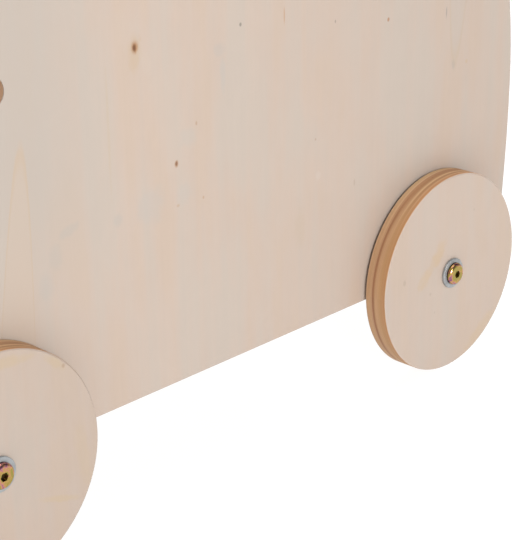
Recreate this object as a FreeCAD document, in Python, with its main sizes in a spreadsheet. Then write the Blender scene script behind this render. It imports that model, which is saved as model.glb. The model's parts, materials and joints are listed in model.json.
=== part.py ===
"""Push-along baby walker in plywood: two side panels, a toy box, a handle bar and four wheels.

X runs forward, Y across to the walker's left, Z up.  The origin is on the floor, under the
middle of the walker.  Every size is in millimetres.
"""
import FreeCAD, Part
import Sketcher
import os
import re
from FreeCAD import Placement, Rotation, Vector

# ---------------------------------------------------------------- driving dimensions
SIZES = {
    # wheels
    "wheel_diameter": 120.0,
    "wheel_thickness": 15.0,
    "wheelbase": 333.0,
    "wheel_side_play": 0.1,
    "bush_diameter": 12.0,
    "sleeve_diameter": 9.0,
    "running_clearance": 0.05,
    "fit_clearance": 0.05,
    # side panels
    "panel_overhang": 73.8,
    "panel_thickness": 15.0,
    "panel_below_axle": 4.5,
    "panel_widest_above_axle": 100.0,
    "front_height_above_axle": 225.0,
    "rear_height_above_axle": 408.0,
    "lower_edge_curve": 850.0,
    "front_edge_curve": 320.0,
    "rear_edge_curve": 2500.0,
    "waist_ahead_of_rear_end": 194.5,
    "waist_above_axle": 258.0,
    "horn_width": 116.5,
    "bottom_corner_round": 30.0,
    "front_corner_round": 55.0,
    "waist_round": 160.0,
    "horn_round": 44.0,
    "arris_round": 1.0,
    "side_hole_diameter": 15.0,
    "side_hole_ahead_of_rear_axle": 23.6,
    "side_hole_above_axle": 172.0,
    # toy box
    "inner_width": 270.0,
    "board_thickness": 12.0,
    "wall_inside_panel_end": 32.5,
    "wall_below_front_height": 33.0,
    "board_top_round": 4.0,
    "rail_size": 40.0,
    "rail_round": 3.0,
    # handle bar
    "handle_diameter": 28.0,
    "handle_ahead_of_rear_end": 61.5,
    "handle_above_axle": 363.0,
    # bolts, washers and inserts
    "bolt_diameter": 6.0,
    "bolt_grip_in_wood": 21.0,
    "bolt_head_diameter": 13.2,
    "bolt_head_height": 2.9,
    "bolt_head_round": 2.1,
    "bolt_end_bevel": 0.6,
    "socket_width": 4.0,
    "socket_depth": 2.0,
    "washer_diameter": 18.0,
    "washer_thickness": 1.6,
    "washer_round": 0.4,
    "bolt_hole_clearance": 0.25,
    "insert_diameter": 12.0,
    "insert_length": 18.0,
    "bolt_end_gap": 4.0,
    # dowel pins
    "dowel_diameter": 8.0,
    "dowel_length": 30.0,
    "dowel_in_panel": 8.0,
    "dowel_end_gap": 0.5,
    "rail_dowel_spread": 12.0,
    "rail_dowel_rise": 9.0,
    "floor_dowel_pitch": 100.0,
    "wall_dowel_margin": 30.0,
    # floor screws
    "screw_diameter": 4.0,
    "screw_head_diameter": 8.0,
    "screw_head_height": 2.4,
    "screw_length": 30.0,
    "screw_point": 4.0,
    "screw_tip": 0.4,
    "screw_pitch": 90.0,
}

# ---------------------------------------------------------------- places worked out from them
AXLE_X = "wheelbase / 2"
AXLE_Z = "wheel_diameter / 2"
PANEL_END = "(wheelbase / 2 + panel_overhang)"
PANEL_INSIDE = "inner_width / 2"
PANEL_OUTSIDE = "(inner_width / 2 + panel_thickness)"
WHEEL_INSIDE = f"({PANEL_OUTSIDE} + washer_thickness + wheel_side_play)"
WHEEL_MIDDLE = f"({WHEEL_INSIDE} + wheel_thickness / 2)"
SLEEVE_LENGTH = "(wheel_thickness + 2 * wheel_side_play)"
OUTER_WASHER = f"({PANEL_OUTSIDE} + washer_thickness + {SLEEVE_LENGTH})"
WHEEL_BOLT_HEAD = f"({OUTER_WASHER} + washer_thickness)"
HANDLE_BOLT_HEAD = f"({PANEL_OUTSIDE} + washer_thickness)"
BOLT_HOLE = "(bolt_diameter / 2 + bolt_hole_clearance)"
BOLT_HOLE_DEPTH = "(bolt_grip_in_wood + bolt_end_gap)"
DOWEL_HOLE = "(dowel_diameter / 2 + fit_clearance)"
SCREW_HOLE = "(screw_diameter / 2 + fit_clearance)"
FLOOR_BOTTOM = f"({AXLE_Z} + rail_size / 2)"
FLOOR_TOP = f"({FLOOR_BOTTOM} + board_thickness)"
BOX_END = f"({PANEL_END} - wall_inside_panel_end)"
WALL_X = f"({BOX_END} - board_thickness / 2)"
WALL_TOP = f"({AXLE_Z} + front_height_above_axle - wall_below_front_height)"
WALL_MIDDLE = f"({WALL_TOP} + {FLOOR_BOTTOM}) / 2"
WALL_DOWEL_PITCH = f"(({WALL_TOP} - {FLOOR_BOTTOM}) / 2 - wall_dowel_margin)"
HANDLE_X = f"(handle_ahead_of_rear_end - {PANEL_END})"
HANDLE_Z = f"({AXLE_Z} + handle_above_axle)"

RAIL_DOWELS = {
    end: [(f"{sign}{AXLE_X} {shift} rail_dowel_spread", f"{AXLE_Z} + rail_dowel_rise")
          for shift in "-+"]
    for end, sign in (("front", ""), ("rear", "-"))
}
FLOOR_DOWELS = [(f"{step} * floor_dowel_pitch", f"{FLOOR_BOTTOM} + board_thickness / 2")
                for step in (-1, 0, 1)]
WALL_DOWELS = {
    end: [(f"{sign}{WALL_X}", f"{WALL_MIDDLE} + {step} * {WALL_DOWEL_PITCH}")
          for step in (-1, 0, 1)]
    for end, sign in (("front", ""), ("rear", "-"))
}
ALL_DOWELS = (RAIL_DOWELS["front"] + RAIL_DOWELS["rear"] + FLOOR_DOWELS
              + WALL_DOWELS["front"] + WALL_DOWELS["rear"])

doc = FreeCAD.newDocument("baby_walker")
sheet = doc.addObject("Spreadsheet::Sheet", "Sizes")
for row, (alias, size) in enumerate(SIZES.items(), start=1):
    sheet.set(f"A{row}", alias)
    sheet.set(f"B{row}", str(size))
    sheet.setAlias(f"B{row}", alias)
doc.recompute()

nodes = []


# ---------------------------------------------------------------- drawing helpers
def cells(words):
    """Write an expression on the sheet's cells: 'wheelbase / 2' is 'Sizes.wheelbase / 2'."""
    return re.sub(r"\b[a-z]\w+\b", lambda word: f"Sizes.{word.group()}"
                  if word.group() in SIZES else word.group(), words)


def value(words):
    """Give an expression's value now."""
    return float(sheet.evalExpression(cells(words)))


def bind(item, **properties):
    """Bind an object's properties to expressions on the sheet."""
    for name, words in properties.items():
        item.setExpression(name, cells(words))


def place(item, x="0", y="0", z="0"):
    """Bind an object's position to the sheet."""
    for axis, words in (("x", x), ("y", y), ("z", z)):
        item.setExpression(f"Placement.Base.{axis}", cells(words))


def new_body(label):
    body = doc.addObject("PartDesign::Body", label)
    body.Label = label
    return body


def keep(item, label):
    """Name an object as one finished node."""
    item.Label = label
    nodes.append(item)
    return item


def sketch_on(body, name, role, away="0"):
    """Start a sketch on one of the body's own planes, or parallel to it."""
    plane = next(each for each in body.Origin.OriginFeatures if each.Role == role)
    drawing = body.newObject("Sketcher::SketchObject", name)
    drawing.AttachmentSupport = (plane, [""])
    drawing.MapMode = "FlatFace"
    drawing.setExpression("AttachmentOffset.Base.z", cells(away))
    return drawing


def dimension(drawing, kind, words, *where):
    """Add a dimension and bind it to the sheet."""
    index = drawing.addConstraint(Sketcher.Constraint(kind, *where, value(words)))
    drawing.setExpression(f"Constraints[{index}]", cells(words))


def fix_point(drawing, geometry, end, across, up):
    """Dimension one point from the sketch's origin."""
    dimension(drawing, "DistanceX", across, -1, 1, geometry, end)
    dimension(drawing, "DistanceY", up, -1, 1, geometry, end)


def circle(drawing, across, up, radius):
    centre = Vector(value(across), value(up), 0)
    ring_line = drawing.addGeometry(Part.Circle(centre, Vector(0, 0, 1), value(radius)))
    fix_point(drawing, ring_line, 3, across, up)
    dimension(drawing, "Radius", radius, ring_line)


def polygon(drawing, corners):
    """Draw a closed outline of straight lines through dimensioned corners."""
    spots = [Vector(value(across), value(up), 0) for across, up in corners]
    count = len(spots)
    lines = [drawing.addGeometry(Part.LineSegment(spots[i], spots[(i + 1) % count]))
             for i in range(count)]
    for i, (across, up) in enumerate(corners):
        drawing.addConstraint(Sketcher.Constraint("Coincident", lines[i - 1], 2, lines[i], 1))
        fix_point(drawing, lines[i], 1, across, up)


def pad(body, drawing, length, both_ways=False):
    feature = body.newObject("PartDesign::Pad", "Pad")
    feature.Profile = drawing
    feature.SideType = "Symmetric" if both_ways else "One side"
    bind(feature, Length=length)
    doc.recompute()
    return feature


def pocket(body, drawing, depth, towards_normal=False):
    """Cut a sketch to a depth, and see that it takes something away."""
    before = body.Shape.Volume
    feature = body.newObject("PartDesign::Pocket", "Pocket")
    feature.Profile = drawing
    feature.Reversed = towards_normal
    bind(feature, Length=depth)
    doc.recompute()
    assert body.Shape.Volume < before - 1.0, f"{body.Label}: a pocket cuts nothing"
    return feature


def revolve(body, drawing):
    """Turn a sketch about its vertical axis."""
    feature = body.newObject("PartDesign::Revolution", "Revolution")
    feature.Profile = drawing
    feature.ReferenceAxis = (drawing, ["V_Axis"])
    feature.Angle = 360
    doc.recompute()
    return feature


def fillet(body, feature, edges, radius):
    """Round the edges that the test picks out."""
    names = [f"Edge{i}" for i, edge in enumerate(feature.Shape.Edges, start=1) if edges(edge)]
    rounding = body.newObject("PartDesign::Fillet", "Fillet")
    rounding.Base = (feature, names)
    bind(rounding, Radius=radius)
    doc.recompute()
    return rounding


def mirror_copy(item, normal):
    copy = doc.addObject("Part::Mirroring", f"{item.Name}_mirror")
    copy.Source = item
    copy.Normal = normal
    return copy


def group(items, label):
    pack = doc.addObject("Part::Compound", label)
    pack.Links = items
    doc.recompute()
    return pack


def on_both_sides(item, label):
    """Repeat an item on the walker's left side."""
    return group([item, mirror_copy(item, Vector(0, 1, 0))], label)


def at_four_wheels(item, label):
    """Repeat a front right item at the other three wheels."""
    sides = on_both_sides(item, f"{label}_front")
    return keep(group([sides, mirror_copy(sides, Vector(1, 0, 0))], label), label)


# ---------------------------------------------------------------- side panels
def panel_outline(drawing):
    """Draw the panel's edge, with sharp corners; gives the corners and their roundings."""
    widest = f"{AXLE_Z} + panel_widest_above_axle"
    bottom = f"{AXLE_Z} - panel_below_axle"
    front_top = f"{AXLE_Z} + front_height_above_axle"
    rear_top = f"{AXLE_Z} + rear_height_above_axle"

    def edge_x(curve, up):
        """How far an end curve stands from the panel's middle at a height."""
        drop = f"({up} - ({widest}))"
        return f"({PANEL_END} - {curve} + sqrt({curve} * {curve} - {drop} * {drop}))"

    def end_curve(sign, curve, low, high):
        """One arc of an end edge, with its centre level with the widest place."""
        centre_x = f"{sign}({PANEL_END} - {curve})"
        low_x = value(f"{sign}{edge_x(curve, low)}")
        high_x = value(f"{sign}{edge_x(curve, high)}")
        middle_z = (value(low) + value(high)) / 2
        middle_x = value(f"{sign}{edge_x(curve, str(middle_z))}")
        arc = Part.Arc(Vector(low_x, value(low), 0), Vector(middle_x, middle_z, 0),
                       Vector(high_x, value(high), 0))
        line = drawing.addGeometry(arc)
        fix_point(drawing, line, 3, centre_x, widest)
        dimension(drawing, "Radius", curve, line)
        low_end, high_end = (1, 2) if sign == "" else (2, 1)
        dimension(drawing, "DistanceY", low, -1, 1, line, low_end)
        dimension(drawing, "DistanceY", high, -1, 1, line, high_end)
        return (line, low_end), (line, high_end)

    def straight(start, end):
        line = drawing.addGeometry(Part.LineSegment(drawing.getPoint(*start),
                                                    drawing.getPoint(*end)))
        drawing.addConstraint(Sketcher.Constraint("Coincident", line, 1, *start))
        drawing.addConstraint(Sketcher.Constraint("Coincident", line, 2, *end))

    front_foot, front_middle = end_curve("", "lower_edge_curve", bottom, widest)
    _, front_head = end_curve("", "front_edge_curve", widest, front_top)
    rear_foot, rear_middle = end_curve("-", "lower_edge_curve", bottom, widest)
    _, rear_head = end_curve("-", "rear_edge_curve", widest, rear_top)
    straight(rear_foot, front_foot)

    waist = (f"waist_ahead_of_rear_end - {PANEL_END}", f"{AXLE_Z} + waist_above_axle")
    horn = (f"horn_width - {PANEL_END}", rear_top)
    slope = drawing.addGeometry(Part.LineSegment(Vector(value(waist[0]), value(waist[1]), 0),
                                                 Vector(value(horn[0]), value(horn[1]), 0)))
    fix_point(drawing, slope, 1, *waist)
    fix_point(drawing, slope, 2, *horn)
    straight(front_head, (slope, 1))
    straight((slope, 2), rear_head)
    doc.recompute()
    return {
        "bottom_corner_round": [front_foot, rear_foot],
        "front_corner_round": [front_head],
        "waist_round": [(slope, 1)],
        "horn_round": [(slope, 2), rear_head],
    }


def side_panel(label, side):
    """A plywood side; its inner face has the blind dowel holes.  side is -1 right, +1 left."""
    body = new_body(label)
    outline = sketch_on(body, "outline", "XZ_Plane")
    corners = panel_outline(outline)
    feature = pad(body, outline, "panel_thickness")

    for radius, ends in corners.items():
        spots = [outline.getPoint(*end) for end in ends]

        def at_corner(edge):
            middle = edge.CenterOfMass
            flat = Vector(middle.x, middle.z, 0)
            across = abs(edge.BoundBox.YLength - value("panel_thickness")) < 0.01
            return across and any(flat.distanceToPoint(spot) < 0.05 for spot in spots)

        feature = fillet(body, feature, at_corner, radius)

    def on_a_face(edge):
        return edge.BoundBox.YLength < 0.001

    fillet(body, feature, on_a_face, "arris_round")

    through = sketch_on(body, "through_holes", "XZ_Plane")
    for sign in ("", "-"):
        circle(through, f"{sign}{AXLE_X}", AXLE_Z, BOLT_HOLE)
    circle(through, HANDLE_X, HANDLE_Z, BOLT_HOLE)
    circle(through, f"-{AXLE_X} + side_hole_ahead_of_rear_axle",
           f"{AXLE_Z} + side_hole_above_axle", "side_hole_diameter / 2")
    pocket(body, through, "panel_thickness", towards_normal=True)

    right = side < 0
    blind = sketch_on(body, "dowel_holes", "XZ_Plane", "0" if right else "panel_thickness")
    for across, up in ALL_DOWELS:
        circle(blind, across, up, DOWEL_HOLE)
    pocket(body, blind, "dowel_in_panel + dowel_end_gap", towards_normal=right)
    place(body, y=f"-{PANEL_INSIDE}" if right else PANEL_OUTSIDE)
    keep(body, label)


# ---------------------------------------------------------------- boards and rails
def end_holes(body, spots, radius, depth):
    """Drill the same holes into both ends of a piece that spans the two panels."""
    for name, away, towards in (("right_holes", PANEL_INSIDE, False),
                                ("left_holes", f"-{PANEL_INSIDE}", True)):
        drawing = sketch_on(body, name, "XZ_Plane", away)
        for across, up in spots:
            circle(drawing, across, up, radius)
        pocket(body, drawing, depth, towards_normal=towards)


def cross_piece(label, low_x, high_x, low_z, high_z):
    """A square-edged piece that spans the two panels."""
    body = new_body(label)
    section = sketch_on(body, "section", "XZ_Plane")
    polygon(section, [(low_x, low_z), (high_x, low_z), (high_x, high_z), (low_x, high_z)])
    return body, pad(body, section, "inner_width", both_ways=True)


def along_y(edge):
    return abs(edge.BoundBox.YLength - value("inner_width")) < 0.01


def axle_rail(end, sign):
    """A hardwood rail under the floor, with an insert in each end for the wheel bolts."""
    axle = f"{sign}{AXLE_X}"
    body, block = cross_piece(f"{end}_axle_rail",
                              f"{axle} - rail_size / 2", f"{axle} + rail_size / 2",
                              f"{AXLE_Z} - rail_size / 2", f"{AXLE_Z} + rail_size / 2")
    floor = value(FLOOR_BOTTOM)
    fillet(body, block, lambda edge: along_y(edge) and edge.CenterOfMass.z < floor - 1.0,
           "rail_round")
    end_holes(body, [(axle, AXLE_Z)], BOLT_HOLE, BOLT_HOLE_DEPTH)
    end_holes(body, [(axle, AXLE_Z)], "insert_diameter / 2 + fit_clearance", "insert_length")
    end_holes(body, RAIL_DOWELS[end], DOWEL_HOLE,
              "dowel_length - dowel_in_panel + dowel_end_gap")
    pilots = sketch_on(body, "pilot_holes", "XY_Plane", FLOOR_BOTTOM)
    for step in (-1, 0, 1):
        circle(pilots, axle, f"{step} * screw_pitch", SCREW_HOLE)
    pocket(body, pilots, "screw_length - board_thickness + dowel_end_gap")
    keep(body, f"{end}_axle_rail")


def floor_board():
    """The box's floor, between its walls, screwed to both rails through countersunk holes."""
    body, _ = cross_piece("floor_board", f"-({BOX_END} - board_thickness)",
                          f"{BOX_END} - board_thickness", FLOOR_BOTTOM, FLOOR_TOP)
    end_holes(body, FLOOR_DOWELS, DOWEL_HOLE, "dowel_length - dowel_in_panel + dowel_end_gap")
    drawing = sketch_on(body, "screw_holes", "XY_Plane", FLOOR_TOP)
    for sign in ("", "-"):
        for step in (-1, 0, 1):
            circle(drawing, f"{sign}{AXLE_X}", f"{step} * screw_pitch", SCREW_HOLE)
    drilled = pocket(body, drawing, "board_thickness")
    floor = value(FLOOR_TOP)

    def mouth(edge):
        is_round = isinstance(edge.Curve, Part.Circle)
        return is_round and abs(edge.CenterOfMass.z - floor) < 0.01

    names = [f"Edge{i}" for i, edge in enumerate(drilled.Shape.Edges, start=1) if mouth(edge)]
    sink = body.newObject("PartDesign::Chamfer", "countersinks")
    sink.Base = (drilled, names)
    sink.ChamferType = "Two distances"
    bind(sink, Size="screw_head_height",
         Size2="(screw_head_diameter - screw_diameter) / 2")
    doc.recompute()
    keep(body, "floor_board")


def box_wall(end, sign):
    """The front or rear wall of the toy box, down to the underside of the floor."""
    middle = f"{sign}{WALL_X}"
    body, block = cross_piece(f"{end}_board",
                              f"{middle} - board_thickness / 2",
                              f"{middle} + board_thickness / 2", FLOOR_BOTTOM, WALL_TOP)
    top = value(WALL_TOP)
    fillet(body, block, lambda edge: along_y(edge) and edge.CenterOfMass.z > top - 0.01,
           "board_top_round")
    end_holes(body, WALL_DOWELS[end], DOWEL_HOLE,
              "dowel_length - dowel_in_panel + dowel_end_gap")
    keep(body, f"{end}_board")


def handle_bar():
    """The round bar that the child pushes, with an insert in each end."""
    body = new_body("handle_bar")
    section = sketch_on(body, "section", "XZ_Plane")
    circle(section, "0", "0", "handle_diameter / 2")
    pad(body, section, "inner_width", both_ways=True)
    end_holes(body, [("0", "0")], BOLT_HOLE, BOLT_HOLE_DEPTH)
    end_holes(body, [("0", "0")], "insert_diameter / 2 + fit_clearance", "insert_length")
    place(body, x=HANDLE_X, z=HANDLE_Z)
    keep(body, "handle_bar")


# ---------------------------------------------------------------- wheels
def wheel(label, x_sign, y_sign):
    """A flat plywood disc and the nylon bush pressed into it."""
    spot = {"x": f"{x_sign}{AXLE_X}", "y": f"{y_sign}{WHEEL_MIDDLE}", "z": AXLE_Z}
    disc = new_body(f"{label}_wheel")
    face = sketch_on(disc, "face", "XZ_Plane")
    circle(face, "0", "0", "wheel_diameter / 2")
    plain = pad(disc, face, "wheel_thickness", both_ways=True)
    fillet(disc, plain, lambda edge: edge.BoundBox.YLength < 0.001, "arris_round")
    bore = sketch_on(disc, "bore", "XZ_Plane", "wheel_thickness / 2")
    circle(bore, "0", "0", "bush_diameter / 2 + fit_clearance")
    pocket(disc, bore, "wheel_thickness")
    place(disc, **spot)
    keep(disc, f"{label}_wheel")

    bush = new_body(f"{label}_bush")
    ends = sketch_on(bush, "section", "XZ_Plane")
    circle(ends, "0", "0", "bush_diameter / 2")
    circle(ends, "0", "0", "sleeve_diameter / 2 + running_clearance")
    pad(bush, ends, "wheel_thickness", both_ways=True)
    place(bush, **spot)
    keep(bush, f"{label}_bush")


# ---------------------------------------------------------------- fasteners
def ring(label, across, up, start, length, outside, inside):
    """A tube on the right side, from start outwards."""
    body = new_body(f"{label}_one")
    section = sketch_on(body, "section", "XZ_Plane")
    circle(section, "0", "0", outside)
    circle(section, "0", "0", inside)
    pad(body, section, length)
    place(body, x=across, y=f"-{start}", z=up)
    return body


def washer(label, across, up, start):
    """A large flat washer with a rounded rim, on the right side, from start outwards."""
    body = ring(label, across, up, start, "washer_thickness", "washer_diameter / 2", BOLT_HOLE)
    widest = value("washer_diameter / 2")

    def rim(edge):
        return isinstance(edge.Curve, Part.Circle) and abs(edge.Curve.Radius - widest) < 0.01

    fillet(body, body.Tip, rim, "washer_round")
    return body


def bolt(label, across, up, head, length):
    """A socket bolt on the right side: low domed head outwards, shank inwards."""
    body = new_body(f"{label}_one")
    half = sketch_on(body, "half_section", "XY_Plane")
    shank = "bolt_diameter / 2"
    polygon(half, [
        ("0", length), (f"{shank} - bolt_end_bevel", length),
        (shank, f"{length} - bolt_end_bevel"), (shank, "0"), ("bolt_head_diameter / 2", "0"),
        ("bolt_head_diameter / 2", "-bolt_head_height"), ("0", "-bolt_head_height"),
    ])
    turned = revolve(body, half)
    top = value("-bolt_head_height")
    fillet(body, turned, lambda edge: isinstance(edge.Curve, Part.Circle)
           and abs(edge.CenterOfMass.y - top) < 0.01, "bolt_head_round")
    socket = sketch_on(body, "socket", "XZ_Plane", "bolt_head_height")
    across_corners = "socket_width / sqrt(3)"
    polygon(socket, [(f"{across_corners} * cos({60 * i})", f"{across_corners} * sin({60 * i})")
                     for i in range(6)])
    pocket(body, socket, "socket_depth")
    place(body, x=across, y=f"-{head}", z=up)
    return body


def insert(label, across, up):
    """A threaded insert, flush with the end of the wood that it is screwed into."""
    start = f"({PANEL_INSIDE} - insert_length)"
    return ring(label, across, up, start, "insert_length", "insert_diameter / 2",
                "bolt_diameter / 2 + fit_clearance")


def wheel_fasteners():
    at_four_wheels(washer("inner_washers", AXLE_X, AXLE_Z, PANEL_OUTSIDE), "inner_washers")
    at_four_wheels(washer("outer_washers", AXLE_X, AXLE_Z, OUTER_WASHER), "outer_washers")
    at_four_wheels(ring("wheel_sleeves", AXLE_X, AXLE_Z,
                        f"({PANEL_OUTSIDE} + washer_thickness)", SLEEVE_LENGTH,
                        "sleeve_diameter / 2", "bolt_diameter / 2 + fit_clearance"),
                   "wheel_sleeves")
    length = f"({WHEEL_BOLT_HEAD} - {PANEL_INSIDE} + bolt_grip_in_wood)"
    at_four_wheels(bolt("wheel_bolts", AXLE_X, AXLE_Z, WHEEL_BOLT_HEAD, length), "wheel_bolts")
    at_four_wheels(insert("rail_inserts", AXLE_X, AXLE_Z), "rail_inserts")


def handle_fasteners():
    spot = (HANDLE_X, HANDLE_Z)
    length = f"({HANDLE_BOLT_HEAD} - {PANEL_INSIDE} + bolt_grip_in_wood)"
    keep(on_both_sides(washer("handle_washers", *spot, PANEL_OUTSIDE), "handle_washers"),
         "handle_washers")
    keep(on_both_sides(bolt("handle_bolts", *spot, HANDLE_BOLT_HEAD, length), "handle_bolts"),
         "handle_bolts")
    keep(on_both_sides(insert("handle_inserts", *spot), "handle_inserts"), "handle_inserts")


def dowels(label, spots):
    """Pins that are half in the panels' inner faces and half in a board's ends."""
    pins = []
    for across, up in spots:
        pin = doc.addObject("Part::Cylinder", f"{label}_pin")
        pin.Placement = Placement(Vector(), Rotation(Vector(1, 0, 0), -90))
        bind(pin, Radius="dowel_diameter / 2", Height="dowel_length")
        place(pin, x=across, y=f"-({PANEL_INSIDE} + dowel_in_panel)", z=up)
        pins.append(pin)
    keep(on_both_sides(group(pins, f"{label}_right"), label), label)


def floor_screws():
    """Countersunk wood screws through the floor into each rail, flush with the floor."""
    screws = []
    for sign in ("", "-"):
        for step in (-1, 0, 1):
            body = new_body("floor_screw_one")
            half = sketch_on(body, "half_section", "XZ_Plane")
            shank = "screw_diameter / 2"
            polygon(half, [
                ("0", "0"), ("screw_head_diameter / 2 - 2 * fit_clearance", "0"),
                (shank, "-screw_head_height"), (shank, "-screw_length + screw_point"),
                ("screw_tip / 2", "-screw_length"), ("0", "-screw_length"),
            ])
            revolve(body, half)
            slot = sketch_on(body, "square_socket", "XY_Plane")
            side = "screw_diameter / 4"
            polygon(slot, [(f"-{side}", f"-{side}"), (side, f"-{side}"),
                           (side, side), (f"-{side}", side)])
            pocket(body, slot, "screw_head_height / 2")
            place(body, x=f"{sign}{AXLE_X}", y=f"{step} * screw_pitch", z=FLOOR_TOP)
            screws.append(body)
    keep(group(screws, "floor_screws"), "floor_screws")


# ---------------------------------------------------------------- the walker
side_panel("right_side_panel", -1)
side_panel("left_side_panel", 1)
for end, sign in (("front", ""), ("rear", "-")):
    axle_rail(end, sign)
    box_wall(end, sign)
    wheel(f"{end}_right", sign, "-")
    wheel(f"{end}_left", sign, "")
    dowels(f"{end}_rail_dowels", RAIL_DOWELS[end])
    dowels(f"{end}_board_dowels", WALL_DOWELS[end])
floor_board()
dowels("floor_dowels", FLOOR_DOWELS)
floor_screws()
handle_bar()
wheel_fasteners()
handle_fasteners()
doc.recompute()

for item in doc.Objects:
    assert "Invalid" not in item.State and "Error" not in item.State, f"{item.Label}: failed"
os.makedirs("parts", exist_ok=True)
for node in nodes:
    shape = node.Shape
    assert not shape.isNull() and shape.isValid(), f"{node.Label}: no valid shape"
for node in nodes:
    node.Shape.exportStep(f"parts/{node.Label}.step")
    print(f"{node.Label}: {len(node.Shape.Solids)} solids, {node.Shape.Volume / 1000:.2f} cm3")
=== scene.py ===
"""Looks of the plywood push-along walker: veneer, edge plies, beech, zinc, floor and light."""

import json
import math

import bpy
from mathutils import Matrix, Vector


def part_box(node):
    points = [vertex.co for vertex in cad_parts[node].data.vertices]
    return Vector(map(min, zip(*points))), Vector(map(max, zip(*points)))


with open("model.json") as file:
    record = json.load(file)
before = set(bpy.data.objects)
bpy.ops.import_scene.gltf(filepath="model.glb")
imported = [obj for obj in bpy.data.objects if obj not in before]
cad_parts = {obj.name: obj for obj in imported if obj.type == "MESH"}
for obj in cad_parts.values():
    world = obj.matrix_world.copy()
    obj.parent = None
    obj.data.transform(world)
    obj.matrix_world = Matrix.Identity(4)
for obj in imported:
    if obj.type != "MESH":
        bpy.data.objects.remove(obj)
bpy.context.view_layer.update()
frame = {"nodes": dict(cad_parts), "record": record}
nodes = frame["nodes"]

ACROSS, THROUGH, UP = 0, 1, 2    # the walker's X, Y and Z, as places in a point
FACTOR, UNDER, OVER, MIXED = 0, 6, 7, 2    # a colour mix: its three sockets and its output


# ------------------------------------------------------------------ colours and shader maths
def paint(red, green, blue):
    """A colour given by its display values out of 255, as a shader wants it."""
    shares = (red / 255, green / 255, blue / 255)
    return (*[share / 12.92 if share < 0.04045 else ((share + 0.055) / 1.055) ** 2.4
              for share in shares], 1.0)


class Signal:
    """A number, colour or vector on its way from one node's socket to the next."""

    def __init__(self, graph, socket):
        self.graph = graph
        self.socket = socket

    def maths(self, operation, *terms):
        return self.graph.node("ShaderNodeMath", {"operation": operation}, terms)

    def __add__(self, other):
        return self.maths("ADD", self, other)

    __radd__ = __add__

    def __sub__(self, other):
        return self.maths("SUBTRACT", self, other)

    def __rsub__(self, other):
        return self.maths("SUBTRACT", other, self)

    def __mul__(self, other):
        return self.maths("MULTIPLY", self, other)

    __rmul__ = __mul__

    def __truediv__(self, other):
        return self.maths("DIVIDE", self, other)

    def __pow__(self, other):
        return self.maths("POWER", self, other)

    def __abs__(self):
        return self.maths("ABSOLUTE", self)

    def root(self):
        return self.maths("SQRT", self)

    def most(self, other):
        return self.maths("MAXIMUM", self, other)

    def least(self, other):
        return self.maths("MINIMUM", self, other)


class Graph:
    """A node tree that is built up one node at a time."""

    def __init__(self, tree):
        self.tree = tree

    def node(self, kind, settings=None, values=(), output=0):
        """Add a node: first its settings, then the values or links of its sockets."""
        added = self.tree.nodes.new(kind)
        for setting, value in (settings or {}).items():
            if setting == "stops":
                self.set_stops(added.color_ramp, value)
            else:
                setattr(added, setting, value)
        places = values.items() if isinstance(values, dict) else enumerate(values)
        for place, value in places:
            if isinstance(value, Signal):
                self.tree.links.new(value.socket, added.inputs[place])
            else:
                added.inputs[place].default_value = value
        return Signal(self, added.outputs[output])

    @staticmethod
    def set_stops(ramp, stops):
        while len(ramp.elements) < len(stops):
            ramp.elements.new(1.0)
        for element, (place, colour) in zip(ramp.elements, stops):
            element.position = place
            element.color = colour


class Finish(Graph):
    """One material: its shader, and the nodes that feed it."""

    def __init__(self, name, roughness, metallic=0.0, **fixed):
        self.material = bpy.data.materials.new(name)
        self.material.use_nodes = True
        super().__init__(self.material.node_tree)
        self.shader = self.tree.nodes["Principled BSDF"]
        self.shader.inputs["Roughness"].default_value = roughness
        self.shader.inputs["Metallic"].default_value = metallic
        for socket, value in fixed.items():
            self.shader.inputs[socket.replace("_", " ")].default_value = value

    def spot(self):
        """The point on the piece, as three numbers in metres."""
        point = self.node("ShaderNodeTexCoord", output="Object")
        return [self.node("ShaderNodeSeparateXYZ", None, [point], part)
                for part in (ACROSS, THROUGH, UP)]

    def point(self, x, y, z):
        return self.node("ShaderNodeCombineXYZ", None, [x, y, z])

    def noise(self, point, scale=1.0, detail=2.0, rough=0.5, warp=0.0):
        values = {"Vector": point, "Scale": scale, "Detail": detail, "Roughness": rough,
                  "Distortion": warp}
        return self.node("ShaderNodeTexNoise", None, values)

    def step(self, value, low, high, start=0.0, end=1.0):
        """Go smoothly from start to end as value goes from low to high."""
        return self.node("ShaderNodeMapRange", {"interpolation_type": "SMOOTHSTEP"},
                         [value, low, high, start, end])

    def ramp(self, value, stops):
        return self.node("ShaderNodeValToRGB", {"stops": stops}, [value])

    def mix(self, amount, first, second):
        """Lay the second colour over the first."""
        return self.node("ShaderNodeMix", {"data_type": "RGBA"},
                         {FACTOR: amount, UNDER: first, OVER: second}, MIXED)

    def shade(self, colour, amount):
        """Brighten or darken a colour by a factor."""
        return self.node("ShaderNodeVectorMath", {"operation": "SCALE"},
                         {"Vector": colour, "Scale": amount})

    def feed(self, socket, signal):
        self.tree.links.new(signal.socket, self.shader.inputs[socket])

    def bump(self, height, distance, strength=1.0):
        """Raise the surface by height times distance, in metres."""
        values = {"Strength": strength, "Distance": distance, "Height": height}
        self.feed("Normal", self.node("ShaderNodeBump", None, values))


def cover(names, material):
    for name in names:
        mesh = nodes[name].data
        mesh.materials.clear()
        mesh.materials.append(material)


# ------------------------------------------------------------------ plywood
VENEER = 0.00060   # what is left of the pale outer ply once it has been sanded
WOOD_LIGHT = 0.70  # oiled wood stands a little darker under the key light
EDGE_LIGHT = 0.91  # and so does the bare edge, by less
WHEEL_RADIUS = 0.06
BORE_NEAR = 0.0080     # from the middle of a side hole: up to here all is the hole's wall, with its full painted light,
BORE_FAR = 0.0095      # and from here on nothing is
BIRCH_GRAIN = 0.00006  # how high the grain stands, in metres


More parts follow.
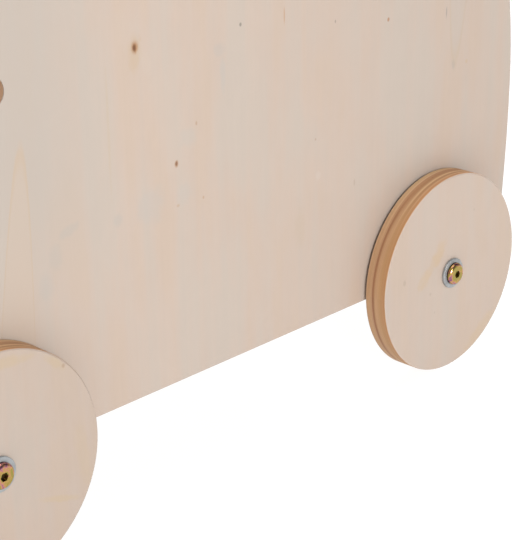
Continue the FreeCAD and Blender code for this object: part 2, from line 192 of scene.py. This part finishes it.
def oval(finish, across, along, at, wide, tall, lean=0.0, wobble=None):
    """A soft oval mark: 1 in its middle, 0 at its edge and beyond.  Lean turns it, in degrees."""
    turn = math.radians(lean)
    x, y = across - at[0], along - at[1]
    over = (x * math.cos(turn) + y * math.sin(turn)) / (wide / 2)
    upward = (y * math.cos(turn) - x * math.sin(turn)) / (tall / 2)
    reach = (over * over + upward * upward).root()
    if wobble is not None:
        reach = reach + wobble
    return 1.0 - finish.step(reach, 0.35, 1.0)


def veneer(finish, across, along, sheet, warm):
    """The pale sanded face ply: cool and warm patches, fine streaks, faint figure and pores."""
    def layer(wide, tall, seed, **more):
        place = finish.point(across * wide, along * tall, sheet * 90.0 + seed)
        return finish.noise(place, **more)

    patches = layer(38.0, 9.0, 0.0, detail=4.0, rough=0.55, warp=0.3)
    bands = layer(110.0, 3.0, 3.0, detail=3.0, warp=0.4)
    streaks = layer(420.0, 9.0, 5.0, detail=3.0, rough=0.6)
    figure = layer(60.0, 40.0, 7.0, detail=4.0, rough=0.6, warp=1.2)
    pores = layer(1900.0, 130.0, 9.0, detail=1.0)

    tone = finish.step(patches * 0.65 + bands * 0.35 + warm, 0.38, 0.62)
    colour = finish.ramp(tone, [(0.0, paint(214, 198, 184)), (0.4, paint(216, 197, 182)),
                                (0.75, paint(217, 196, 180)), (1.0, paint(217, 195, 177))])
    light = 1.0 + (streaks - 0.5) * 0.05 + (figure - 0.5) * 0.05 + (bands - 0.5) * 0.03
    light = light - finish.step(pores, 0.66, 0.8) * 0.025
    return finish.shade(colour, light), streaks * 0.6 + pores * 0.4


def plies(finish, depth, ring, along_edge, sheet):
    """The bare edge.  Depth runs from 0 at the back face to 1 at the front; ring is 1 where
    the face grain runs along the edge and 0 where it ends in it."""
    wander = finish.noise(finish.point(along_edge * 18.0, sheet * 3.0, 0.0), detail=2.0)
    depth = depth + (wander - 0.5) * 0.012
    # painted shade: the darkest stops, at depth 0 to 0.03, stand for the shadow in the gap behind
    # a wheel; every board gets this dark strip along its back face
    ends = finish.ramp(depth, [
        (0.000, paint(104, 76, 52)), (0.030, paint(150, 118, 86)),
        (0.055, paint(216, 182, 142)), (0.085, paint(190, 152, 114)),
        (0.120, paint(206, 170, 128)), (0.200, paint(204, 166, 126)),
        (0.235, paint(214, 178, 140)), (0.275, paint(188, 142, 104)),
        (0.400, paint(180, 134, 97)), (0.500, paint(176, 130, 92)),
        (0.560, paint(196, 154, 114)), (0.620, paint(216, 180, 138)),
        (0.665, paint(196, 154, 112)), (0.710, paint(172, 126, 88)),
        (0.770, paint(188, 144, 104)), (0.820, paint(208, 166, 124)),
        (0.870, paint(188, 140, 100)), (0.940, paint(190, 138, 96)),
        (1.000, paint(204, 160, 120)),
    ])
    # the same painted shade at depth 0 to 0.03 here
    sides = finish.ramp(depth, [
        (0.000, paint(100, 72, 48)), (0.030, paint(150, 114, 82)),
        (0.060, paint(196, 160, 124)), (0.100, paint(190, 148, 110)),
        (0.250, paint(192, 152, 114)), (0.330, paint(184, 140, 106)),
        (0.360, paint(150, 104, 72)), (0.385, paint(162, 116, 82)),
        (0.410, paint(154, 108, 76)), (0.440, paint(180, 136, 98)),
        (0.520, paint(194, 152, 114)), (0.660, paint(190, 148, 106)),
        (0.760, paint(186, 142, 98)), (0.860, paint(188, 142, 100)),
        (0.930, paint(184, 136, 90)), (1.000, paint(194, 148, 112)),
    ])
    colour = finish.mix(ring, ends, sides)
    fibres = finish.noise(finish.point(along_edge * 45.0, depth * 26.0, sheet * 5.0),
                          detail=4.0, rough=0.65)
    cells = finish.noise(finish.point(along_edge * 1500.0, depth * 45.0, sheet), detail=1.0)
    glue = abs(finish.noise(finish.point(along_edge * 30.0, depth * 7.0, 3.0)) - 0.5)
    light = 1.0 + (fibres - 0.5) * 0.26 + (cells - 0.5) * 0.18 + (glue - 0.1) * 0.15
    lines = finish.noise(finish.point(along_edge * 9.0, depth * 62.0, sheet * 4.0), detail=3.0)
    light = light + (lines - 0.5) * 0.30
    ticks = finish.noise(finish.point(along_edge * 700.0, depth * 6.0, sheet * 2.0), detail=1.0)
    core = finish.step(abs(depth - 0.39), 0.06, 0.14, 1.0, 0.0)
    light = light - finish.step(ticks, 0.60, 0.72) * core * (1.0 - ring) * 0.16
    light = light * (EDGE_LIGHT - ring * 0.05)
    return finish.shade(colour, light), fibres * 0.5 + cells * 0.5


def rim_place(finish, across, length):
    """On a disc: how much the face grain runs along the rim here, and how far round it is."""
    reach = (across * across + length * length).root()
    ring = finish.step(abs(across) / reach.most(1e-4), 0.25, 0.95)
    turn = finish.node("ShaderNodeMath", {"operation": "ARCTAN2"}, [length, across])
    return ring, turn * WHEEL_RADIUS


def side_place(finish, spot, side, along):
    """The same two things on a sheet that is not a disc."""
    normal = finish.node("ShaderNodeTexCoord", output="Normal")
    facing = finish.node("ShaderNodeSeparateXYZ", None, [normal], side)
    return finish.step(abs(facing), 0.25, 0.95), spot[side] + spot[along]


def paint_light_into_bore(finish, edge, aside, above):
    """Paint light onto the wall of a side hole, so that it is paler than the other edges: a
    painted pool of light in the hollow.
    """
    reach = (aside * aside + above * above).root()
    # painted light: full on the hole's wall, none from BORE_FAR out
    bore = finish.step(reach, BORE_NEAR, BORE_FAR, 1.0, 0.0)
    return finish.mix(bore * 0.55, edge, paint(206, 176, 150))


def face_share(finish, depth, along_edge, skin):
    """1 within the outer ply of either face and 0 between them, with a frayed border."""
    fray = (finish.noise(finish.point(along_edge * 120.0, 0.0, 0.0)) - 0.5) * skin * 0.5
    high_face = finish.step(depth + fray, 1.0 - skin * 1.1, 1.0 - skin * 0.7)
    low_face = finish.step(depth + fray, skin * 0.7, skin * 1.1, 1.0, 0.0)
    return (high_face + low_face).least(1.0)


def plywood(name, node, through, along, front=1, marks=None, warm=0.0, tone=1.0,
            round_edge=False, bores=None):
    """Cover a flat piece: veneer on both faces, plies round its edge.

    through is the axis across the sheet and along the axis of the face grain; front is 1 when
    the better face is on the high side of the sheet, and -1 when it is on the low side.
    """
    finish = Finish(name, roughness=0.58, IOR=1.42)
    spot = finish.spot()
    low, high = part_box(node)
    middle = (low + high) / 2
    thick = high[through] - low[through]
    side = ({ACROSS, THROUGH, UP} - {through, along}).pop()
    if front > 0:
        depth = (spot[through] - low[through]) / thick
    else:
        depth = (high[through] - spot[through]) / thick
    across = spot[side] - middle[side]
    length = spot[along] - middle[along]
    seed = front * middle[through] * 40.0
    sheet = finish.step(depth, 0.45, 0.55, seed, seed + 3.7)

    face, face_grain = veneer(finish, spot[side], spot[along], sheet, warm)
    if marks is not None:
        face = marks(finish, face, across, length, finish.step(depth, 0.90, 0.93))
    face = finish.shade(face, WOOD_LIGHT * tone)
    if round_edge:
        ring, along_edge = rim_place(finish, across, length)
    else:
        ring, along_edge = side_place(finish, spot, side, along)
    edge, edge_grain = plies(finish, depth, ring, along_edge, sheet)
    # painted light on the wall of the side hole
    if bores:
        edge = paint_light_into_bore(finish, edge, spot[side] - bores[0], spot[along] - bores[1])

    is_face = face_share(finish, depth, along_edge, VENEER / thick)
    finish.feed("Base Color", finish.mix(is_face, edge, face))
    finish.feed("Roughness", 0.66 - is_face * 0.08 + (face_grain - 0.5) * 0.10)
    grain = is_face * face_grain + (1.0 - is_face) * edge_grain
    finish.bump(grain, BIRCH_GRAIN)
    cover([node], finish.material)


def right_panel_marks(finish, face, across, along, outer):
    """The knots, flecks and flame figure of the right panel's outer face, and a painted shade
    towards its front end.
    """
    wobble = (finish.noise(finish.point(across * 260.0, along * 160.0, 0.0), detail=3.0)
              - 0.5) * 0.9
    low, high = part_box("right_side_panel")
    middle_z = (low[UP] + high[UP]) / 2

    def mark(x, z, wide, tall, colour, strength, lean=0.0):
        nonlocal face
        shape = oval(finish, across, along, (x, z - middle_z), wide, tall, lean, wobble)
        face = finish.mix(shape * outer * strength, face, colour)

    cool = finish.step(across + wobble * 0.012, -0.130, -0.060, 0.70, 0.0)
    cool = cool * finish.step(along + wobble * 0.02, -0.15, -0.07, 0.2, 1.0)
    face = finish.mix(cool * outer, face, paint(203, 192, 181))
    # painted shade: the outer face darkens by up to 3.5 % towards the front, standing in for the
    # light falling off there
    face = finish.shade(face, 1.0 - finish.step(across, -0.05, 0.22, 0.0, 0.035) * outer)

    # the large knot, the wood drawn round it and its dark heart
    mark(-0.0640, 0.2440, 0.014, 0.030, paint(219, 203, 190), 0.20, 12.0)
    mark(-0.0520, 0.2270, 0.009, 0.022, paint(219, 203, 188), 0.25, 20.0)
    mark(-0.0587, 0.2335, 0.0110, 0.0240, paint(212, 184, 150), 0.40)
    mark(-0.0588, 0.2362, 0.0056, 0.0092, paint(186, 134, 84), 0.85)
    mark(-0.0590, 0.2360, 0.0032, 0.0062, paint(122, 78, 48), 0.90)
    # small knots and flecks
    mark(-0.0346, 0.1732, 0.0034, 0.0048, paint(184, 140, 102), 0.75)
    mark(-0.0346, 0.1732, 0.0018, 0.0030, paint(140, 98, 70), 0.80)
    mark(-0.0204, 0.1905, 0.0016, 0.0026, paint(192, 158, 130), 0.6)
    mark(-0.0169, 0.1510, 0.0018, 0.0024, paint(200, 164, 132), 0.6)
    mark(-0.0342, 0.1512, 0.0032, 0.0024, paint(204, 170, 136), 0.5)
    mark(0.0114, 0.2343, 0.0022, 0.0026, paint(138, 132, 122), 0.75)
    mark(0.0430, 0.2330, 0.0014, 0.0130, paint(202, 160, 124), 0.65)
    mark(0.0819, 0.2230, 0.0014, 0.0024, paint(150, 140, 130), 0.6)
    mark(0.1252, 0.2163, 0.0026, 0.0034, paint(186, 132, 92), 0.8)
    mark(0.1761, 0.2110, 0.0014, 0.0090, paint(150, 146, 142), 0.60)
    mark(0.1839, 0.1795, 0.0044, 0.0070, paint(184, 176, 170), 0.55)
    mark(0.1960, 0.1790, 0.0034, 0.0036, paint(212, 184, 150), 0.50)
    mark(0.0664, 0.1619, 0.0016, 0.0020, paint(192, 164, 142), 0.6)
    mark(0.0982, 0.1295, 0.0016, 0.0052, paint(188, 166, 148), 0.5)
    mark(0.0687, 0.1410, 0.0060, 0.0066, paint(220, 204, 191), 0.6)
    # a warm patch, the cool blue-grey ones and a yellow streak
    mark(0.0540, 0.1150, 0.0120, 0.0300, paint(210, 186, 160), 0.30)
    mark(-0.0735, 0.1541, 0.0080, 0.0090, paint(197, 190, 183), 0.34)
    mark(-0.1043, 0.1570, 0.0170, 0.0070, paint(195, 189, 182), 0.32, 20.0)
    mark(-0.1129, 0.1460, 0.0110, 0.0180, paint(197, 190, 182), 0.32)
    mark(-0.1190, 0.1330, 0.0120, 0.0200, paint(198, 191, 184), 0.28)
    mark(-0.0035, 0.2245, 0.0110, 0.0100, paint(199, 191, 184), 0.34)
    mark(-0.0015, 0.2120, 0.0050, 0.0260, paint(203, 196, 189), 0.45)
    mark(-0.0260, 0.1850, 0.0170, 0.0140, paint(206, 198, 188), 0.40)
    mark(-0.0520, 0.1560, 0.0240, 0.0260, paint(205, 197, 189), 0.40)
    mark(-0.0300, 0.1560, 0.0130, 0.0160, paint(206, 198, 189), 0.35)
    mark(-0.0770, 0.1990, 0.0022, 0.0900, paint(212, 190, 158), 0.30)

    fall = 0.2085 - middle_z - along
    face = flame(finish, face, outer, fall, across + fall * 0.095 + 0.1285, wobble, 900.0,
                 paint(215, 195, 177), 0.60)
    rise = along - (0.1740 - middle_z)
    return flame(finish, face, outer, rise, across - rise * 0.05 - 0.1845, wobble, 620.0,
                 paint(204, 194, 183), 0.32)


def flame(finish, face, outer, inwards, sideways, wobble, pinch, within, strength):
    """A pointed tongue of face figure: its own colour within, a thin yellow line round it."""
    inside = inwards - sideways * sideways * pinch + wobble * 0.006
    tongue = finish.step(inside, -0.001, 0.008)
    line = tongue * finish.step(inside, 0.004, 0.020, 1.0, 0.0)
    face = finish.mix(tongue * outer * strength, face, within)
    return finish.mix(line * outer * 0.38, face, paint(211, 183, 152))


def front_wheel_marks(finish, face, across, along, outer):
    """Resin-yellow smears, a few grey flecks and a stain low down by the rim."""
    wobble = (finish.noise(finish.point(across * 150.0, along * 150.0, 1.0), detail=3.0)
              - 0.5) * 1.3
    for at, wide, tall, lean, strength in (
            ((-0.0185, 0.0090), 0.010, 0.040, -45.0, 0.32),
            ((-0.0120, 0.0155), 0.013, 0.021, -30.0, 0.42),
            ((-0.0250, 0.0030), 0.012, 0.016, -50.0, 0.32)):
        smear = oval(finish, across, along, at, wide, tall, lean, wobble)
        face = finish.mix(smear * outer * strength, face, paint(219, 189, 154))
    for x, z, size in ((-0.0433, 0.0062, 0.0030), (-0.0192, -0.0081, 0.0022),
                       (-0.0149, -0.0209, 0.0018), (0.020, 0.034, 0.0018)):
        fleck = oval(finish, across, along, (x, z), size, size * 1.3, 0.0, wobble)
        face = finish.mix(fleck * outer * 0.35, face, paint(182, 164, 148))
    edge = oval(finish, across, along, (0.0310, -0.0460), 0.012, 0.050, -57.0, wobble)
    return finish.mix(edge * outer * 0.45, face, paint(221, 193, 158))


def rear_wheel_marks(finish, face, across, along, outer):
    """Yellow streaks near the top and low on the front side."""
    wobble = (finish.noise(finish.point(across * 150.0, along * 150.0, 2.0), detail=3.0)
              - 0.5) * 1.1
    for at, wide, tall, lean, strength in (
            ((0.0080, 0.0535), 0.040, 0.008, -8.0, 0.45),
            ((0.0360, 0.0440), 0.020, 0.006, -38.0, 0.40),
            ((0.0340, -0.0270), 0.030, 0.005, -20.0, 0.40),
            ((0.0500, -0.0100), 0.010, 0.050, 8.0, 0.20)):
        streak = oval(finish, across, along, at, wide, tall, lean, wobble)
        face = finish.mix(streak * outer * strength, face, paint(220, 194, 156))
    dot = oval(finish, across, along, (0.0412, 0.0406), 0.0026, 0.0030, 0.0, wobble)
    return finish.mix(dot * outer * 0.5, face, paint(186, 152, 124))


def finish_plywood():
    hole = next(mount["pos_m"] for mount in frame["record"]["mounts"]
                if mount["name"] == "right_side_hole")
    bores = (hole[ACROSS], hole[UP])
    plywood("right_panel_birch", "right_side_panel", THROUGH, UP, -1, right_panel_marks,
            bores=bores)
    plywood("left_panel_birch", "left_side_panel", THROUGH, UP, 1, warm=0.03, bores=bores)
    plywood("front_board_birch", "front_board", ACROSS, THROUGH, 1, warm=0.02)
    plywood("rear_board_birch", "rear_board", ACROSS, THROUGH, -1)
    plywood("floor_birch", "floor_board", UP, ACROSS, 1, warm=0.05)
    # painted shade: the right rear wheel's face is painted darker than the front one, 0.92 against
    # 0.99
    for end, marks, tone in (("front", front_wheel_marks, 0.99), ("rear", rear_wheel_marks, 0.92)):
        plywood(f"{end}_right_wheel_birch", f"{end}_right_wheel", THROUGH, UP, -1, marks, 0.05,
                tone, round_edge=True)
        plywood(f"{end}_left_wheel_birch", f"{end}_left_wheel", THROUGH, ACROSS, 1, None, 0.03,
                round_edge=True)


# ------------------------------------------------------------------ solid wood
BEECH_GRAIN = 0.00005


def beech(name, names, along):
    """Planed beech: warm growth bands and short dark flecks along the grain."""
    finish = Finish(name, roughness=0.5, IOR=1.45)
    spot = finish.spot()
    stretch = [1.0, 1.0, 1.0]
    stretch[along] = 0.06
    x, y, z = (spot[i] * stretch[i] for i in range(3))
    rings = finish.noise(finish.point(x * 120.0, y * 120.0, z * 120.0), detail=3.0, warp=0.6)
    fibres = finish.noise(finish.point(x * 900.0, y * 900.0, z * 900.0), detail=2.0)
    flecks = finish.noise(finish.point(x * 1500.0, y * 1500.0, z * 1500.0), detail=0.0)
    colour = finish.ramp(rings, [(0.25, paint(222, 184, 144)), (0.5, paint(212, 170, 128)),
                                 (0.75, paint(198, 152, 110))])
    dark = finish.step(flecks, 0.62, 0.74)
    colour = finish.mix(dark * 0.45, colour, paint(160, 112, 74))
    finish.feed("Base Color", finish.shade(colour, WOOD_LIGHT + (fibres - 0.5) * 0.12))
    finish.feed("Roughness", 0.46 + fibres * 0.10)
    finish.bump(fibres * 0.5 - dark * 0.5, BEECH_GRAIN)
    cover(names, finish.material)


# ------------------------------------------------------------------ metal and nylon
HEAD_RADIUS = 0.0066     # a bolt's domed head, and how far its edge is rounded
HEAD_ROUND = 0.0021
FOOT = 0.0008            # the straight part of the head, next to the washer, painted in shade
HEAD_RIM = 0.0006        # the outermost part of it
SOCKET_RADIUS = 0.0023   # out to the corners of its hexagon
SOCKET_SHADE_TOP = 0.0020     # above the washer: the socket is painted in shade up to here,
SOCKET_LIP = 0.0027      # and has the colour of the head from here
ZINC_RUBS = 0.00001      # how deep the fine scratches are
YELLOW_RUBS = 0.000015


def zinc(name, names):
    """Zinc plate: grey, a little blue and cloudy, with fine rubbed scratches."""
    finish = Finish(name, roughness=0.55, metallic=0.6)
    x, y, z = finish.spot()
    clouds = finish.noise(finish.point(x * 260.0, y * 260.0, z * 260.0), detail=4.0)
    rubs = finish.noise(finish.point(x * 2600.0, y * 300.0, z * 1100.0), detail=3.0)
    colour = finish.ramp(clouds, [(0.3, paint(150, 153, 155)), (0.7, paint(174, 176, 177))])
    finish.feed("Base Color", colour)
    finish.feed("Roughness", 0.50 + clouds * 0.14 + (rubs - 0.5) * 0.12)
    finish.bump(rubs, ZINC_RUBS)
    cover(names, finish.material)


def yellow_zinc(name, node, axis_node, washers):
    """Yellow passivated zinc: olive gold that drifts to rose and violet with its film; the head's
    foot and its socket are painted dark as shade.
    """
    finish = Finish(name, roughness=0.24, metallic=1.0)
    x, y, z = finish.spot()
    film = finish.noise(finish.point(x * 240.0, y * 240.0, z * 240.0), detail=3.0, warp=0.8)
    fine = finish.noise(finish.point(x * 900.0, y * 900.0, z * 900.0), detail=3.0)
    axis_low, axis_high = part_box(axis_node)
    axis = (axis_low + axis_high) / 2
    aside = abs(x) - abs(axis[ACROSS])
    above = z - axis[UP]
    reach = (aside * aside + above * above).root()
    head = abs(y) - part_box(washers)[1][THROUGH]
    slope = finish.step(reach, HEAD_RADIUS - HEAD_ROUND, HEAD_RADIUS - HEAD_RIM)
    colour = finish.ramp(film + (fine - 0.5) * 0.20 - slope * 0.10, [
        (0.24, paint(120, 84, 110)), (0.33, paint(184, 122, 132)), (0.39, paint(200, 148, 108)),
        (0.47, paint(182, 152, 84)), (0.56, paint(156, 144, 76)), (0.68, paint(172, 152, 84)),
        (0.80, paint(190, 128, 108))])
    # painted shade: the foot of the head where it meets the washer, with a painted dark reflection
    # on its side, and the inside of the hex socket are darkened nearly to black
    foot_shade = finish.step(head, FOOT * 0.7, FOOT * 1.5, 1.0, 0.0)
    socket = finish.step(reach, SOCKET_RADIUS * 0.9, SOCKET_RADIUS, 1.0, 0.0)
    deep_shade = finish.step(head, SOCKET_SHADE_TOP, SOCKET_LIP, 1.0, 0.0)
    dark = (foot_shade * slope).most(socket * deep_shade)
    finish.feed("Base Color", finish.mix(dark * 0.88, colour, paint(52, 42, 32)))
    finish.feed("Roughness", 0.18 + fine * 0.14 + dark * 0.15)
    finish.bump(fine, YELLOW_RUBS)
    cover([node], finish.material)


def brass(name, names):
    """Turned brass with faint tool rings."""
    finish = Finish(name, roughness=0.3, metallic=1.0)
    x, y, z = finish.spot()
    rings = finish.noise(finish.point(x * 60.0, y * 4000.0, z * 60.0), detail=1.0)
    finish.feed("Base Color", finish.ramp(rings, [(0.2, paint(196, 160, 92)),
                                                  (0.8, paint(222, 190, 122))]))
    finish.feed("Roughness", 0.24 + rings * 0.16)
    cover(names, finish.material)


def nylon(name, names):
    """Natural nylon: milky, with faint flow marks."""
    finish = Finish(name, roughness=0.42, Subsurface_Weight=0.15)
    x, y, z = finish.spot()
    flow = finish.noise(finish.point(x * 90.0, y * 220.0, z * 90.0), detail=3.0)
    finish.feed("Base Color", finish.ramp(flow, [(0.2, paint(226, 222, 208)),
                                                 (0.8, paint(238, 236, 226))]))
    finish.feed("Roughness", 0.36 + flow * 0.12)
    cover(names, finish.material)


def finish_the_rest():
    beech("beech_bar", ["handle_bar"], THROUGH)
    beech("beech_rails", ["front_axle_rail", "rear_axle_rail"], THROUGH)
    beech("beech_pins", [name for name in nodes if name.endswith("dowels")], THROUGH)
    zinc("zinc_plate", ["inner_washers", "outer_washers", "handle_washers", "wheel_sleeves",
                        "floor_screws"])
    yellow_zinc("wheel_bolt_zinc", "wheel_bolts", "front_right_wheel", "outer_washers")
    yellow_zinc("handle_bolt_zinc", "handle_bolts", "handle_bar", "handle_washers")
    brass("turned_brass", ["rail_inserts", "handle_inserts"])
    nylon("natural_nylon", [name for name in nodes if name.endswith("bush")])


# ------------------------------------------------------------------ floor, light and camera
FLOOR_SIZE = 14.0
FLOOR_GLOW = 0.92   # what the sheet gives of itself
FLOOR_TONE = 0.12   # and how much it throws back


def lay_floor():
    """A plain white sheet, lit from below as a product table is."""
    bpy.ops.mesh.primitive_plane_add(size=FLOOR_SIZE, location=(0, 0, 0))
    floor = bpy.context.object
    floor.name = "floor"
    finish = Finish("floor_white", roughness=0.9)
    finish.shader.inputs["Base Color"].default_value = (FLOOR_TONE, FLOOR_TONE, FLOOR_TONE, 1)
    finish.shader.inputs["Emission Color"].default_value = (1, 1, 1, 1)
    finish.shader.inputs["Emission Strength"].default_value = FLOOR_GLOW
    floor.data.materials.append(finish.material)


ZENITH_LIGHT = 0.10
HORIZON_LIGHT = 0.75   # over and above the light of the zenith
LIT_POINT = Vector((0.0, 0.0, 0.15))    # every soft box faces it
SOFT_BOXES = (    # name, place, width and power
    ("key", (-1.3, -2.95, 1.35), 1.2, 92.0),
    ("fill", (1.6, -1.9, 0.9), 0.9, 1.0),
    ("left", (-0.5, 2.9, 1.5), 1.2, 78.0),
    ("front", (2.8, 0.7, 1.3), 1.2, 45.0),
    ("overhead", (0.1, -0.5, 2.2), 1.6, 5.0),
    ("top", (0.0, 0.4, 2.2), 1.4, 36.0),
)


def light_studio():
    """A white room, brightest along the horizon, and soft boxes all round."""
    world = bpy.data.worlds.new("studio")
    bpy.context.scene.world = world
    world.use_nodes = True
    room = Graph(world.node_tree)
    direction = room.node("ShaderNodeTexCoord", output="Generated")
    height = room.node("ShaderNodeSeparateXYZ", None, [direction], UP)
    glow = ZENITH_LIGHT + (1.0 - height.most(0.0)) ** 4.0 * HORIZON_LIGHT
    background = room.tree.nodes["Background"]
    background.inputs["Color"].default_value = (1.0, 1.0, 1.0, 1)
    room.tree.links.new(glow.socket, background.inputs["Strength"])
    for name, at, size, power in SOFT_BOXES:
        data = bpy.data.lights.new(name, "AREA")
        data.shape = "SQUARE"
        data.size = size
        data.energy = power
        lamp = bpy.data.objects.new(name, data)
        lamp.location = at
        lamp.rotation_euler = (LIT_POINT - Vector(at)).to_track_quat("-Z", "Y").to_euler()
        bpy.context.scene.collection.objects.link(lamp)


CAMERA_AT = Vector((-0.5637, -0.7271, 0.4316))
CAMERA_TURN = math.radians(45.32)
CAMERA_DIP = math.radians(21.96)
CAMERA_ROLL = math.radians(-0.83)
CAMERA_LENS = 111.65
CAMERA_NEAR = 0.05    # nothing nearer or farther than these is drawn
CAMERA_FAR = 50.0


def place_camera():
    """Stand behind and to the right of the walker, and look down along it at the wheels."""
    look = Vector((math.sin(CAMERA_TURN) * math.cos(CAMERA_DIP),
                   math.cos(CAMERA_TURN) * math.cos(CAMERA_DIP), -math.sin(CAMERA_DIP)))
    right = Vector((math.cos(CAMERA_TURN), -math.sin(CAMERA_TURN), 0.0))
    up = right.cross(look)
    tilted_right = math.cos(CAMERA_ROLL) * right + math.sin(CAMERA_ROLL) * up
    tilted_up = math.cos(CAMERA_ROLL) * up - math.sin(CAMERA_ROLL) * right
    turn = Matrix((tilted_right, tilted_up, -look)).transposed().to_4x4()
    data = bpy.data.cameras.new("camera")
    data.lens = CAMERA_LENS
    data.clip_start = CAMERA_NEAR
    data.clip_end = CAMERA_FAR
    camera = bpy.data.objects.new("camera", data)
    camera.matrix_world = Matrix.Translation(CAMERA_AT) @ turn
    bpy.context.scene.collection.objects.link(camera)
    bpy.context.scene.camera = camera


finish_plywood()
finish_the_rest()
lay_floor()
light_studio()
place_camera()
bpy.context.scene.view_settings.view_transform = "Standard"
